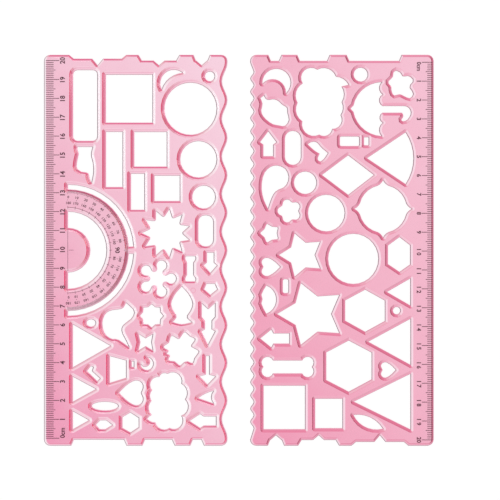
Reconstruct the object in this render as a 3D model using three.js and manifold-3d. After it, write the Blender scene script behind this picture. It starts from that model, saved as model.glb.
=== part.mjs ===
// A set of two transparent moulded drawing templates, each with a 20 cm ruler edge.
// Millimetres, +Z up. The set lies flat, with its origin under the middle of the pair.
//
// Each template is drawn in its own ruler coordinates: u runs from the ruled edge across the plate,
// and v runs along that edge from the 0 cm mark. Both face the same way up, and the shapes template
// is turned half round, so that the two ruled edges lie on the outside of the pair.

import * as THREE from 'three';
import { mergeVertices } from 'three/addons/utils/BufferGeometryUtils.js';
import Module from 'manifold-3d';

const wasm = await Module();
wasm.setup();

// Driving sizes of the pair
const TEMPLATE_WIDTH = 97.3;
const SCALE_LENGTH = 200;
const THICKNESS = 2;
const PAIR_GAP = 12;
const ZERO_END_MARGIN = 4.1;
const FULL_END_MARGIN = 3.2;
const CORNER_RADIUS = 3.3;

// Every edge and cut-out is square at the drawing surface and bevelled above it
const LAND_HEIGHT = 0.9;
const OUTER_BEVEL = 1.4;
const PROTRACTOR_BEVEL = 1.95;
const SHAPES_BEVEL = 1.65;

// Tabs and notches in turn along each short edge, out from the ruled edge, stretched to the width
const PROTRACTOR_ZERO_RUNS = [14.5, 29.3, 8.5, 17, 8.4, 7.2, 12.5];
const SHAPES_ZERO_RUNS = [17, 29.2, 9, 17.2, 8.4, 7, 9.6];
const FULL_RUNS = [13.4, 30.2, 6.6, 21.7, 7.5, 8.6, 9.4];

// The zero end's notches are plain, and the full end's each hold a vee
const ZERO_NOTCH_DEPTH = 3.2;
const ZERO_NOTCH_SLOPE = 1.4;
const FULL_NOTCH_DEPTHS = [2, 3, 3];
const FULL_NOTCH_SLOPES = [2.4, 1.8, 1.2];
const VEE_HALF_WIDTH = 2.9;
const VEE_TIP_DEPTH = 5.5;

// The curve of each long free edge
const WAVE_PITCH = 19.9;
const WAVE_HEIGHT = 2.9;
const SCALLOP_PITCH = 7;
const SCALLOP_HEIGHT = 1.9;
const SCALLOP_START = 5;

// The protractor, centred beside the middle of the scale
const PROTRACTOR_U = 12.7;
const PROTRACTOR_OFFSET = 0.4;
const HUB_RADIUS = 11.9;
const DIAL_INNER_RADIUS = 20.4;
const DIAL_OUTER_RADIUS = 32.3;
const SLOT_WIDTH = 2.4;
const BRIDGE_WIDTH = 3.8;

// The outer edges that the two sets of cut-outs were drawn in
const PROTRACTOR_DRAWING = { ruledEdge: -0.4, freeEdge: 96.8, zeroEnd: -3.8, fullEnd: 203.2 };
const SHAPES_DRAWING = { ruledEdge: 0.1, freeEdge: 97.4, zeroEnd: -4.3, fullEnd: 203.2 };

// How far a straight facet may stray from a true curve
const FACET_ERROR = 0.085;
// How far the cutters reach past the faces that they cut
const OVERCUT = 0.2;
// A corner that turns by more than this has a rounded bevel
const ROUNDED_TURN = THREE.MathUtils.degToRad(62);
const ROUNDED_STEP = THREE.MathUtils.degToRad(45);
// A bevel's upper edge has no side shorter than this
const SHORTEST_SIDE = 0.02;

const FULL_TURN = 2 * Math.PI;

function point(u, v) {
  return new THREE.Vector2(u, v);
}

// Points along a circular arc, both ends included
function arcPoints(centre, radius, from, to) {
  const facet = 2 * Math.acos(Math.max(1 - FACET_ERROR / radius, 0.5));
  const count = Math.max(2, Math.ceil(Math.abs(to - from) / facet));
  const points = [];
  for (let i = 0; i <= count; i += 1) {
    const angle = THREE.MathUtils.lerp(from, to, i / count);
    points.push(point(centre.x + radius * Math.cos(angle), centre.y + radius * Math.sin(angle)));
  }
  return points;
}

function place(outline, u, v, degrees = 0) {
  const turn = THREE.MathUtils.degToRad(degrees);
  const origin = point(0, 0);
  return outline.map((corner) => corner.clone().rotateAround(origin, turn).add(point(u, v)));
}

function disc(u, v, radius) {
  return arcPoints(point(u, v), radius, 0, FULL_TURN);
}

function ellipse(u, v, radiusU, radiusV) {
  const round = disc(0, 0, radiusU);
  return round.map((corner) => point(u + corner.x, v + (corner.y * radiusV) / radiusU));
}

// Straight sides between [u, v, own radius] corners, with each corner rounded where its sides allow
function polygon(corners, radius = 0) {
  const outline = [];
  corners.forEach(([u, v, ownRadius = radius], i) => {
    const corner = point(u, v);
    const [beforeU, beforeV, beforeRadius = radius] = corners.at(i - 1);
    const [afterU, afterV, afterRadius = radius] = corners[(i + 1) % corners.length];
    const before = point(beforeU, beforeV).sub(corner);
    const after = point(afterU, afterV).sub(corner);
    if (ownRadius === 0) {
      outline.push(corner);
      return;
    }
    const halfAngle = Math.acos(before.dot(after) / before.length() / after.length()) / 2;
    const roomBefore = (before.length() * ownRadius) / (ownRadius + beforeRadius);
    const roomAfter = (after.length() * ownRadius) / (ownRadius + afterRadius);
    const setback = Math.min(ownRadius / Math.tan(halfAngle), roomBefore, roomAfter);
    const round = setback * Math.tan(halfAngle);
    if (round < FACET_ERROR) {
      outline.push(corner);
      return;
    }
    const middle = before.clone().normalize().add(after.clone().normalize()).normalize();
    const centre = corner.clone().addScaledVector(middle, round / Math.sin(halfAngle));
    const start = corner.clone().addScaledVector(before.normalize(), setback).sub(centre).angle();
    const end = corner.clone().addScaledVector(after.normalize(), setback).sub(centre).angle();
    const sweep = THREE.MathUtils.euclideanModulo(end - start + Math.PI, FULL_TURN) - Math.PI;
    outline.push(...arcPoints(centre, round, start, start + sweep));
  });
  return outline;
}

function box(u, v, width, length, radius = 0) {
  const right = width / 2;
  const top = length / 2;
  const corners = [[right, -top], [right, top], [-right, top], [-right, -top]];
  return place(polygon(corners, radius), u, v);
}

// An arc from one point to the next that rises this far to the right of the line between them
function risingArc(from, to, rise) {
  if (Math.abs(rise) < FACET_ERROR) {
    return [from, to];
  }
  const chord = to.clone().sub(from);
  const half = chord.length() / 2;
  const radius = (half * half + rise * rise) / (2 * Math.abs(rise));
  const toRight = point(chord.y, -chord.x).normalize();
  const middle = from.clone().lerp(to, 0.5);
  const centre = middle.addScaledVector(toRight, rise - Math.sign(rise) * radius);
  const start = from.clone().sub(centre).angle();
  const halfSweep = 2 * Math.atan2(Math.abs(rise), half);
  return arcPoints(centre, radius, start, start + Math.sign(rise) * 2 * halfSweep);
}

// A closed chain of arcs from each [u, v, rise] to the next, where a rise above 0 bows to the right
function arcs(nodes) {
  return nodes.flatMap(([u, v, rise = 0], i) => {
    const [nextU, nextV] = nodes[(i + 1) % nodes.length];
    return risingArc(point(u, v), point(nextU, nextV), rise);
  });
}

// Two arcs through the same two tips, which leave a moon between them
function crescent(tip, otherTip, outerRise, innerRise) {
  return arcs([[...tip, outerRise], [...otherTip, -innerRise]]);
}

// A closed outline of strokes, each a smooth curve through its points from the end of the last
function drawn(...strokes) {
  const [first] = strokes;
  const shape = new THREE.Shape();
  shape.moveTo(...first[0]);
  strokes.forEach((stroke, i) => {
    const points = stroke.slice(i === 0 ? 1 : 0).map(([u, v]) => point(u, v));
    const last = i === strokes.length - 1 ? [point(...first[0])] : [];
    const route = [...points, ...last];
    if (route.length === 1) {
      shape.lineTo(route[0].x, route[0].y);
    } else {
      shape.splineThru(route);
    }
  });
  return shape.getPoints(2);
}

// Tips and waists in turn, stretched to two radii, with the first tip at the given angle
function star(u, v, tips, radiusU, radiusV, waist, degrees = 0, tipRound = 0, waistRound = 0) {
  const corners = [];
  for (let i = 0; i < 2 * tips; i += 1) {
    const angle = THREE.MathUtils.degToRad(degrees) + (i * Math.PI) / tips;
    const share = i % 2 === 0 ? 1 : waist;
    const round = i % 2 === 0 ? tipRound : waistRound;
    corners.push([radiusU * share * Math.cos(angle), radiusV * share * Math.sin(angle), round]);
  }
  return place(polygon(corners), u, v);
}

// Round lobes joined by round valleys that touch them smoothly
function lobed(u, v, lobes, reach, lobeRadius, valleyReach) {
  const step = FULL_TURN / lobes;
  const cosine = Math.cos(step / 2);
  const spare = reach ** 2 + valleyReach ** 2 - 2 * reach * valleyReach * cosine - lobeRadius ** 2;
  const valleyRadius = spare / (2 * (lobeRadius - valleyReach + reach * cosine));
  const valleyCentre = valleyReach + valleyRadius;
  const outline = [];
  for (let i = 0; i < lobes; i += 1) {
    const lobe = point(reach, 0).rotateAround(point(0, 0), i * step);
    const valley = point(valleyCentre, 0).rotateAround(point(0, 0), (i + 0.5) * step);
    const meet = valley.clone().sub(lobe).angle() - i * step;
    const spread = THREE.MathUtils.euclideanModulo(meet, FULL_TURN);
    outline.push(...arcPoints(lobe, lobeRadius, i * step - spread, i * step + spread));
    const valleyStart = i * step + spread + Math.PI;
    const valleyEnd = (i + 1) * step - spread + Math.PI;
    outline.push(...arcPoints(valley, valleyRadius, valleyStart, valleyEnd));
  }
  return place(outline, u, v);
}

// Tip at u, v, with the shaft running off at the given angle and shoulders that slope to it
function arrow(u, v, degrees, { head, length, width, shaft, shoulder }) {
  const neck = head + shoulder;
  const corners = [
    [0, 0], [head, -width / 2], [neck, -shaft / 2], [length, -shaft / 2],
    [length, shaft / 2], [neck, shaft / 2], [head, width / 2],
  ];
  return place(polygon(corners), u, v, degrees);
}

// Point at u, v, with the two lobes off at the given angle
function heart(u, v, degrees, length, width, notch) {
  const flank = [[0.32, 0.3], [0.66, 0.48], [0.9, 0.43], [1, 0.24]];
  const lower = flank.map(([along, across]) => [along * length, -across * width]);
  const upper = lower.map(([along, across]) => [along, -across]).reverse();
  const cleft = [length - notch, 0];
  return place(drawn([[0, 0], ...lower, cleft], upper), u, v, degrees);
}

// A slice of a disc, with its point at u, v
function sector(u, v, radius, halfAngle, degrees) {
  const spread = THREE.MathUtils.degToRad(halfAngle);
  return place([point(0, 0), ...arcPoints(point(0, 0), radius, -spread, spread)], u, v, degrees);
}

// A disc with a small ogee point on each of its four sides
function pointedDisc(u, v, radius, tipRadius, spreadDegrees) {
  const spread = THREE.MathUtils.degToRad(spreadDegrees);
  const outline = [];
  for (let i = 0; i < 4; i += 1) {
    const side = (i * Math.PI) / 2;
    const round = arcPoints(point(0, 0), radius, side + spread, side + Math.PI / 2 - spread);
    const tip = place([point(tipRadius, 0)], 0, 0, i * 90)[0];
    const shoulder = place([point(radius, 0)], 0, 0, i * 90 - spreadDegrees)[0];
    outline.push(...risingArc(shoulder, tip, -0.35), ...risingArc(tip, round[0], -0.35), ...round);
  }
  return place(outline, u, v);
}

// Half a ring about the middle of the protractor, between two angles
function dialWindow(innerRadius, outerRadius, from, to) {
  const centre = point(PROTRACTOR_U, SCALE_LENGTH / 2 - PROTRACTOR_OFFSET);
  const outer = arcPoints(centre, outerRadius, from, to);
  const inner = arcPoints(centre, innerRadius, to, from);
  return [...outer, ...inner];
}

function protractorWindows() {
  const slotOuterRadius = DIAL_OUTER_RADIUS + SLOT_WIDTH;
  const bridgeAngle = BRIDGE_WIDTH / 2 / DIAL_OUTER_RADIUS;
  return {
    hubWindow: dialWindow(HUB_RADIUS, DIAL_INNER_RADIUS, -Math.PI / 2, Math.PI / 2),
    upperSlot: dialWindow(DIAL_OUTER_RADIUS, slotOuterRadius, bridgeAngle, Math.PI / 2),
    lowerSlot: dialWindow(DIAL_OUTER_RADIUS, slotOuterRadius, -Math.PI / 2, -bridgeAngle),
  };
}

// Carries cut-outs from their drawing to the plate: each keeps its form, and its middle its place
function fitted(cutouts, { ruledEdge, freeEdge, zeroEnd, fullEnd }) {
  const spreadU = TEMPLATE_WIDTH / (freeEdge - ruledEdge);
  const spreadV = (ZERO_END_MARGIN + SCALE_LENGTH + FULL_END_MARGIN) / (fullEnd - zeroEnd);
  const size = Math.min(spreadU, spreadV);
  const fit = (outline) => {
    const middle = new THREE.Box2().setFromPoints(outline).getCenter(point(0, 0));
    const u = (middle.x - ruledEdge) * spreadU;
    const v = (middle.y - zeroEnd) * spreadV - ZERO_END_MARGIN;
    return outline.map((corner) => corner.clone().sub(middle).multiplyScalar(size).add(point(u, v)));
  };
  return Object.fromEntries(Object.entries(cutouts).map(([name, outline]) => [name, fit(outline)]));
}

// The drawn cut-outs of the protractor template, from its full end down to its zero end
const protractorFigures = {
  longWindow: box(21.4, 176.4, 12.8, 37.4, 2.3),
  largeSquare: box(44.7, 180, 24.6, 25.3),
  moon: crescent([72.9, 193.7], [61.9, 185], 5.6, 2.1),
  largeDisc: disc(77.2, 174.7, 13.8),
  pencilHole: disc(87.4, 191.8, 2.55),
  cushion: drawn(
    [[17.3, 154.4], [17.4, 152.6], [18, 150.8], [17.2, 147], [17, 143.2], [19.5, 141.3]],
    [[22.9, 140.6], [23.8, 137.6], [24.7, 135.7]],
    [[25.6, 140.5], [25.5, 145.5], [24.4, 150.4], [25.3, 154.4]],
    [],
  ),
  tallWindow: box(36.8, 147.8, 8.7, 29.1),
  mediumSquare: box(56, 153.2, 17.1, 18.2),
  mediumDisc: disc(81.4, 147.9, 9.6),
  narrowWindow: box(49.2, 130.7, 7, 19),
  smallSquare: box(64.8, 132.5, 13.3, 13.3),
  smallDisc: disc(84.2, 127.9, 6.05),
  burst: star(64.2, 108.8, 11, 12.7, 12.7, 0.64, 180, 0, 0.9),
  roundSlot: box(85.3, 110, 7.8, 16.3, 3.4),
  splat: lobed(59.6, 84.7, 5, 7.3, 2.65, 3.7),
  smallBone: polygon([
    [74.5, 83.3], [79.8, 83.3], [79.8, 84.9], [78.6, 86.6], [78.6, 93.2], [79.8, 94.9],
    [79.8, 96.5], [74.5, 96.5], [74.5, 94.9], [75.4, 93.2], [75.4, 86.6], [74.5, 84.9],
  ], 0.6),
  stubArrow: arrow(87.7, 87.8, 90, { head: 3.9, length: 10.6, width: 6.9, shaft: 3.5, shoulder: 1.4 }),
  smallPentagon: polygon([[87.7, 76.2], [91.3, 79], [90, 81.9], [85.7, 81.9], [84.5, 79]]),
  fish: drawn(
    [[72.6, 80.5], [69, 76.3], [67, 71.6], [67.9, 68.1], [69.9, 64.6], [67.9, 61.7]],
    [[72.4, 60.6], [77.8, 61.6]],
    [[75.1, 64.3], [77.2, 67.9], [78.2, 71.6], [76.3, 76.2]],
  ),
  fletchedArrow: polygon([
    [86.4, 49.8], [90.1, 56.8], [88.3, 57.8], [88.3, 62.5], [90.1, 64.5], [90.1, 71.6],
    [86.6, 68.4], [83.2, 71.4], [83.2, 64.4], [84.9, 62.4], [84.9, 57.8], [83, 56.7],
  ]),
  bird: drawn(
    [[43, 71.8], [41.4, 69], [38.6, 68.3], [34.8, 67.7], [31.8, 65.5], [30.5, 60.8], [31.8, 55.6],
      [35.2, 52.9], [38.8, 52.5], [44.5, 48.5]],
    [[42.9, 52], [40.7, 56.5], [41.4, 60], [46.2, 64], [47.1, 67.8]],
  ),
  pebble: ellipse(24.5, 61.2, 2.4, 1.9),
  eightPointStar: star(56.6, 65, 8, 6.1, 6.1, 0.8),
  crossedStar: polygon([
    [57.1, 46.8], [56.3, 51], [57.1, 55.2], [53.4, 53], [49.7, 55.3], [50.7, 51], [49.7, 46.8],
    [53.4, 49],
  ]),
  hookMoon: crescent([50.7, 39.4], [54.4, 43], 5.5, 3.6),
  tinySlot: box(46.6, 39.4, 1, 2.8),
  oakLeaf: polygon([
    [71.6, 38.5], [73.9, 40.6], [75.6, 41], [78.4, 39.7], [79.2, 42.6], [81.9, 46.3], [77, 48.8],
    [79.9, 52.7], [76.9, 54], [74, 56.7], [71.1, 52.3], [67, 54.8], [65.8, 50.6], [62.3, 48.4],
    [66.9, 46.1], [63.4, 45], [66.9, 44.2], [64.9, 41.3], [68.7, 41],
  ], 0.8),
  largeHeart: heart(39.4, 24.2, 0, 12.6, 13.5, 1.2),
  cloud: arcs([
    [66, 5.7, 3.6], [72.2, 12.1, 2.6], [74.2, 20.7, 2], [72.3, 29, 3.2], [65, 34.2, 1.2],
    [60.7, 32.6, 2.8], [56.9, 25.6, 1], [56.6, 19.9, 1.6], [56.7, 12.4, 0.3], [54.3, 10.4, 0.6],
    [58.6, 8.6, 2.2],
  ]),
  thinArrow: arrow(86.2, 28.7, 90, { head: 4.2, length: 15, width: 8.2, shaft: 1.6, shoulder: 0.9 }),
  sail: arcs([[81.4, 21.4], [89.2, 18.7, -1.2], [89.2, 25.2, 0.5]]),
  sideArrow: arrow(76.8, 9.3, 0, { head: 5.5, length: 13.8, width: 7.3, shaft: 4.7, shoulder: 1.8 }),
  trapezium: polygon([[34.5, 29.6], [43, 32.2], [43, 41.3], [34.5, 43.6]]),
  tick: polygon([[22.4, 35.7], [27.7, 30.5], [29.2, 31.8], [24.9, 35.7], [25.6, 37.8], [24.4, 38.3]]),
  largeTriangle: polygon([[14.9, 37.8], [34.7, 49.1], [14.9, 60.4]]),
  mediumTriangle: polygon([[14.9, 19.6], [27, 26.2], [14.9, 32.7]]),
  smallTriangle: polygon([[14.9, 5], [23.3, 9.7], [14.9, 14.4]]),
  longEllipse: ellipse(31.9, 17.2, 6.95, 2.25),
  gem: polygon([[27.1, 7.3], [29, 5], [32, 5], [35.7, 7.2], [32.6, 9.6], [29.4, 9.6]]),
  smallHexagon: polygon([
    [41.2, 5.6], [45.4, 3.3], [49.7, 6], [49.7, 10.9], [45.3, 13.7], [41.2, 11.3],
  ]),
};

// The drawn cut-outs of the shapes template, from its zero end to its full end
const shapesFigures = {
  moon: crescent([78.4, 16.1], [90.9, 11], 10.7, 4.8),
  berry: drawn(
    [[91.9, 18.7], [90.1, 17.3]],
    [[89.3, 18.9], [87.6, 19.7], [85.2, 19.3], [82.6, 20.1], [80.4, 22.2], [78, 23.7], [77.7, 26.5],
      [76.9, 30.4], [79, 33.4], [82.4, 33.1], [86, 32.2], [90, 28.9], [91.5, 25.6], [90.8, 21.9]],
  ),
  speechCloud: arcs([
    [69.5, 10.9, -4.4], [61.8, 3.6, -2.5], [51.9, 7.3, -1.1], [45.2, 11.6], [49, 12.5, -1.3],
    [48.9, 20.8, -1], [49.5, 27.7, -2.6], [53.9, 35, -2.1], [60.8, 38, -3.7], [69.7, 31, -2],
    [72.2, 21.2, -2.2],
  ]),
  pencilHole: disc(38.8, 6.2, 3.7),
  starfish: drawn(
    [[20, 4.1], [17.7, 5.2], [16.4, 7.2], [13.2, 7], [10.9, 9.4], [13, 12.6], [10.9, 16.2],
      [12.7, 18.7], [15.8, 17.6], [18.1, 16.6], [21.2, 17.2], [22.4, 14.8], [22.6, 12.6],
      [24.2, 10.2], [21.8, 7.6], [21.4, 5.2]],
  ),
  umbrella: arcs([
    [27.7, 10.2, 1.6], [27.2, 16.8, 1.9], [27.2, 22.9, 0], [16, 22.9, -2.2], [13, 28.8, -0.6],
    [16.4, 31, -0.3], [17.1, 29.9, 0.9], [17, 26.4, 0], [27.3, 26.4, 1.6], [27.1, 31.8, 1.6],
    [27.8, 38.8, -3.4], [42.6, 26, 0], [44.2, 24.3, 0], [42.6, 22.7, -3.4],
  ]),
  upArrow: arrow(87.8, 36.4, 90, { head: 5.7, length: 13.1, width: 8.6, shaft: 5.1, shoulder: 1.3 }),
  roundSlot: box(74.75, 45.1, 8.4, 18, 4.1),
  sock: drawn(
    [[66.9, 43.2], [64.6, 41.9], [62, 42.3], [59.4, 45.2], [56.2, 47.8]],
    [[58, 50.6], [60.2, 52.3], [61.6, 51], [60.5, 48.2]],
    [[63.4, 46.4]],
  ),
  shortBox: box(44.7, 41.6, 10.2, 5, 0.7),
  tinyBox: box(35.8, 41.6, 2.4, 4.2, 0.3),
  rhombus: polygon([[31.8, 59.5], [45.4, 49.1], [59.3, 59.5], [45.4, 70]]),
  slice: sector(35.4, 50.6, 24.6, 33.8, 180),
  comma: drawn(
    [[88, 77.3], [90.3, 72.2], [91.3, 66], [90.2, 59.3], [87, 55.5], [83, 54.5], [78.7, 56.4],
      [77, 61], [78.9, 65.6], [83.6, 67.9], [86, 71.6]],
  ),
  smallDisc: disc(68.2, 63.6, 5.95),
  flower: lobed(76.6, 78.6, 5, 3.9, 2.35, 4.7),
  pointedDisc: pointedDisc(26.9, 77.5, 12.6, 15.2, 13),
  mediumDisc: disc(57, 79.7, 9.7),
  largeDisc: disc(42.7, 104, 13.3),
  tallHexagon: polygon([
    [12.6, 96.8], [18.2, 92.5], [24.3, 97], [24.3, 106.8], [18.2, 110.9], [12.6, 107],
  ]),
  leftTriangle: polygon([[12.5, 114.5], [24.8, 121.6], [12.5, 128.7]]),
  pinHole: disc(19.75, 131.5, 1.95),
  hexagon: polygon([
    [26, 126.2], [36.4, 120.4], [47, 126.1], [47, 136.8], [36.4, 142.7], [26, 137],
  ]),
  largeStar: star(64.9, 133.3, 5, 18.2, 17.2, 0.57),
  mediumStar: star(70.1, 102, 5, 12, 12, 0.57),
  smallStar: star(86.9, 90.4, 5, 5.3, 5.3, 0.68, 0, 0.5, 0.5),
  mediumHeart: heart(81.5, 108.3, 0, 9.8, 9.9, 1),
  thinBox: box(78.6, 118.5, 2.9, 7.3, 0.8),
  mouth: arcs([
    [88.8, 118.2, 0.2], [91.4, 123.1, 0], [90.8, 125.4, 0], [91.4, 127.7, 0.2], [88.8, 133.1, 5.2],
  ]),
  sideArrow: arrow(92, 146.3, 180, { head: 5.8, length: 15.3, width: 9.4, shaft: 5.3, shoulder: 1.1 }),
  largeBone: arcs([
    [69.8, 158], [85.3, 158, 3.8], [90.3, 161.4, 3.8], [85.3, 164.8], [69.8, 164.8, 3.8],
    [64.7, 161.4, 3.8],
  ]),
  largeSquare: box(79.3, 182.9, 21.9, 23.1),
  smallSquare: box(55.7, 186.1, 14.4, 15.6),
  largeHexagon: polygon([
    [33, 153.8], [45.1, 147.4], [57, 153.7], [57, 168.3], [45.1, 174.5], [33, 168],
  ]),
  mediumTriangle: polygon([[12.4, 135.9], [34.7, 148], [12.4, 160.2]]),
  smallHeart: heart(20.2, 163, 0, 7.8, 8.4, 0.9),
  largeTriangle: polygon([[12.4, 165.1], [42.4, 179.8], [12.4, 194.5]]),
  leaf: arcs([[42.6, 186.9, 3.1], [27, 194.2, 2.6]]),
};

const protractorCutouts = {
  ...protractorWindows(),
  ...fitted(protractorFigures, PROTRACTOR_DRAWING),
};
const shapesCutouts = fitted(shapesFigures, SHAPES_DRAWING);

// The [from, to] of each notch that these runs of tabs and notches leave
function notchSpans(runs) {
  const stretch = TEMPLATE_WIDTH / runs.reduce((sum, run) => sum + run);
  const ends = runs.map((_, i) => stretch * runs.slice(0, i + 1).reduce((sum, run) => sum + run));
  return [[ends[0], ends[1]], [ends[2], ends[3]], [ends[4], ends[5]]];
}

// The 20 cm end, from the ruled edge out to the free one
function fullEnd() {
  const outer = SCALE_LENGTH + FULL_END_MARGIN;
  const corners = [[0, outer, CORNER_RADIUS]];
  notchSpans(FULL_RUNS).forEach(([from, to], i) => {
    const floor = outer - FULL_NOTCH_DEPTHS[i];
    const slope = FULL_NOTCH_SLOPES[i];
    const vee = (from + to) / 2;
    const half = Math.min(VEE_HALF_WIDTH, vee - from - slope);
    corners.push([from, outer], [from + slope, floor], [vee - half, floor]);
    corners.push([vee, outer - VEE_TIP_DEPTH]);
    corners.push([vee + half, floor], [to - slope, floor], [to, outer]);
  });
  return [...corners, [TEMPLATE_WIDTH, outer, CORNER_RADIUS]];
}

// The zero end, from the ruled edge out to the free one
function zeroEnd(runs) {
  const outer = -ZERO_END_MARGIN;
  const floor = outer + ZERO_NOTCH_DEPTH;
  const corners = [[0, outer, CORNER_RADIUS]];
  notchSpans(runs).forEach(([from, to]) => {
    corners.push([from, outer], [from + ZERO_NOTCH_SLOPE, floor]);
    corners.push([to - ZERO_NOTCH_SLOPE, floor], [to, outer]);
  });
  return [...corners, [TEMPLATE_WIDTH, outer, CORNER_RADIUS]];
}

// A smooth wave with a crest beside the 0 cm mark
function waveEdge() {
  const stepsPerWave = 10;
  const step = WAVE_PITCH / stepsPerWave;
  const corners = [];
  for (let v = 0; v <= SCALE_LENGTH; v += step) {
    const drop = (1 - Math.cos((v / WAVE_PITCH) * FULL_TURN)) / 2;
    corners.push([TEMPLATE_WIDTH - WAVE_HEIGHT * drop, v]);
  }
  return corners;
}

// Small round scallops, with the straight corner tabs before and after them
function scallopEdge() {
  const stepsPerScallop = 6;
  const count = Math.floor((SCALE_LENGTH - 2 * SCALLOP_START) / SCALLOP_PITCH);
  const corners = [[TEMPLATE_WIDTH, 0]];
  for (let i = 0; i <= count * stepsPerScallop; i += 1) {
    const phase = (i / stepsPerScallop) * FULL_TURN;
    const drop = (1 + Math.cos(phase)) / 2;
    const v = SCALLOP_START + (i / stepsPerScallop) * SCALLOP_PITCH;
    corners.push([TEMPLATE_WIDTH - SCALLOP_HEIGHT * drop, v]);
  }
  return [...corners, [TEMPLATE_WIDTH, SCALE_LENGTH]];
}

function distinct(outline) {
  return outline.filter((corner, i) => corner.distanceTo(outline.at(i - 1)) > FACET_ERROR / 4);
}

function anticlockwise(outline) {
  const corners = distinct(outline);
  return THREE.ShapeUtils.isClockWise(corners) ? corners.toReversed() : corners;
}

// The sides of an outline, each with its outward normal. A sharp corner that the bevel spreads
// round also gets sides of no length, whose normals fan out between those of its neighbours.
function sidesOf(outline, spread) {
  const normals = outline.map((start, i) => {
    const run = outline[(i + 1) % outline.length].clone().sub(start).normalize();
    return point(run.y, -run.x);
  });
  return outline.flatMap((corner, i) => {
    const before = normals.at(i - 1);
    const turn = Math.atan2(before.cross(normals[i]), before.dot(normals[i]));
    const fan = turn * Math.sign(spread) > ROUNDED_TURN ? Math.floor(Math.abs(turn) / ROUNDED_STEP) : 0;
    const sides = [];
    for (let k = 1; k <= fan; k += 1) {
      const normal = before.clone().rotateAround(point(0, 0), (turn * k) / (fan + 1));
      sides.push({ corner, normal, from: i, to: i });
    }
    return [...sides, { corner, normal: normals[i], from: i, to: (i + 1) % outline.length }];
  });
}

// Where two neighbouring sides meet once both have moved along their normals
function meeting(side, next, spread) {
  const cross = side.normal.cross(next.normal);
  if (Math.abs(cross) < 1e-4) {
    return next.corner.clone().addScaledVector(next.normal, spread);
  }
  const reach = side.corner.dot(side.normal) + spread;
  const nextReach = next.corner.dot(next.normal) + spread;
  return point(
    (reach * next.normal.y - nextReach * side.normal.y) / cross,
    (nextReach * side.normal.x - reach * next.normal.x) / cross,
  );
}

function movedLength(before, side, after, spread) {
  const run = meeting(side, after, spread).sub(meeting(before, side, spread));
  return run.dot(point(-side.normal.y, side.normal.x));
}

// Drops each side whose neighbours meet before it has moved the whole way, the soonest one first
function survivingSides(sides, spread) {
  const kept = [...sides];
  let shortest;
  do {
    shortest = { share: Infinity };
    kept.forEach((side, i) => {
      const after = kept[(i + 1) % kept.length];
      const length = movedLength(kept.at(i - 1), side, after, spread);
      if (length < SHORTEST_SIDE) {
        const still = movedLength(kept.at(i - 1), side, after, 0);
        const share = still / (still - length);
        shortest = share < shortest.share ? { share, i } : shortest;
      }
    });
    if (shortest.share < Infinity) {
      kept.splice(shortest.i, 1);
    }
  } while (shortest.share < Infinity);
  return kept;
}

// A solid on this outline with square sides up to the land, which slope outward by the spread
// from there to the top
function slopedSolid(outline, spread, bottom, top) {
  const sides = sidesOf(outline, spread);
  const kept = survivingSides(sides, spread);
  const rim = kept.map((side, i) => meeting(kept.at(i - 1), side, spread));
  const count = outline.length;
  const triangles = [];
  let survivor = 0;
  sides.forEach((side) => {
    const { from, to } = side;
    const rimFrom = 2 * count + survivor;
    if (from !== to) {
      triangles.push([from, to, to + count], [from, to + count, from + count]);
      triangles.push([from + count, to + count, rimFrom]);
    }
    if (side === kept[survivor]) {
      survivor = (survivor + 1) % kept.length;
      triangles.push([to + count, 2 * count + survivor, rimFrom]);
    }
  });
  THREE.ShapeUtils.triangulateShape(outline, []).forEach(([a, b, c]) => {
    triangles.push([c, b, a]);
  });
  THREE.ShapeUtils.triangulateShape(rim, []).forEach((lid) => {
    triangles.push(lid.map((corner) => corner + 2 * count));
  });
  const geometry = new THREE.BufferGeometry();
  const positions = [
    ...outline.flatMap(({ x, y }) => [x, y, bottom]),
    ...outline.flatMap(({ x, y }) => [x, y, LAND_HEIGHT]),
    ...rim.flatMap(({ x, y }) => [x, y, top]),
  ];
  geometry.setAttribute('position', new THREE.Float32BufferAttribute(positions, 3));
  geometry.setIndex(triangles.flat());
  return solidFrom(geometry);
}

function solidFrom(geometry) {
  const merged = mergeVertices(geometry, 1e-5);
  return new wasm.Manifold(new wasm.Mesh({
    numProp: 3,
    vertProperties: new Float32Array(merged.attributes.position.array),
    triVerts: new Uint32Array(merged.index.array),
  }));
}

function geometryFrom(solid) {
  const mesh = solid.getMesh();
  const geometry = new THREE.BufferGeometry();
  geometry.setAttribute('position', new THREE.BufferAttribute(mesh.vertProperties, 3));
  geometry.setIndex(new THREE.BufferAttribute(mesh.triVerts, 1));
  geometry.computeVertexNormals();
  return geometry;
}

function templatePlate(outline, cutouts, bevelWidth) {
  const cutterTop = THICKNESS + OVERCUT;
  const cutterSpread = (bevelWidth * (cutterTop - LAND_HEIGHT)) / (THICKNESS - LAND_HEIGHT);
  const blank = slopedSolid(anticlockwise(outline), -OUTER_BEVEL, 0, THICKNESS);
  const plate = Object.values(cutouts).reduce((rest, cutout) => {
    const cutter = slopedSolid(anticlockwise(cutout), cutterSpread, -OVERCUT, cutterTop);
    return rest.subtract(cutter);
  }, blank);
  return geometryFrom(plate);
}

function clearPlastic(color) {
  return new THREE.MeshStandardMaterial({ color, roughness: 0.12, transparent: true, opacity: 0.75 });
}

const protractorOutline = polygon([
  ...zeroEnd(PROTRACTOR_ZERO_RUNS),
  ...waveEdge(),
  ...fullEnd().reverse(),
]);

const shapesOutline = polygon([
  ...zeroEnd(SHAPES_ZERO_RUNS),
  ...scallopEdge(),
  ...fullEnd().reverse(),
]);

const pair = new THREE.Group();
const outerEdge = TEMPLATE_WIDTH + PAIR_GAP / 2;
const middleOfLength = (SCALE_LENGTH + FULL_END_MARGIN - ZERO_END_MARGIN) / 2;

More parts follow.
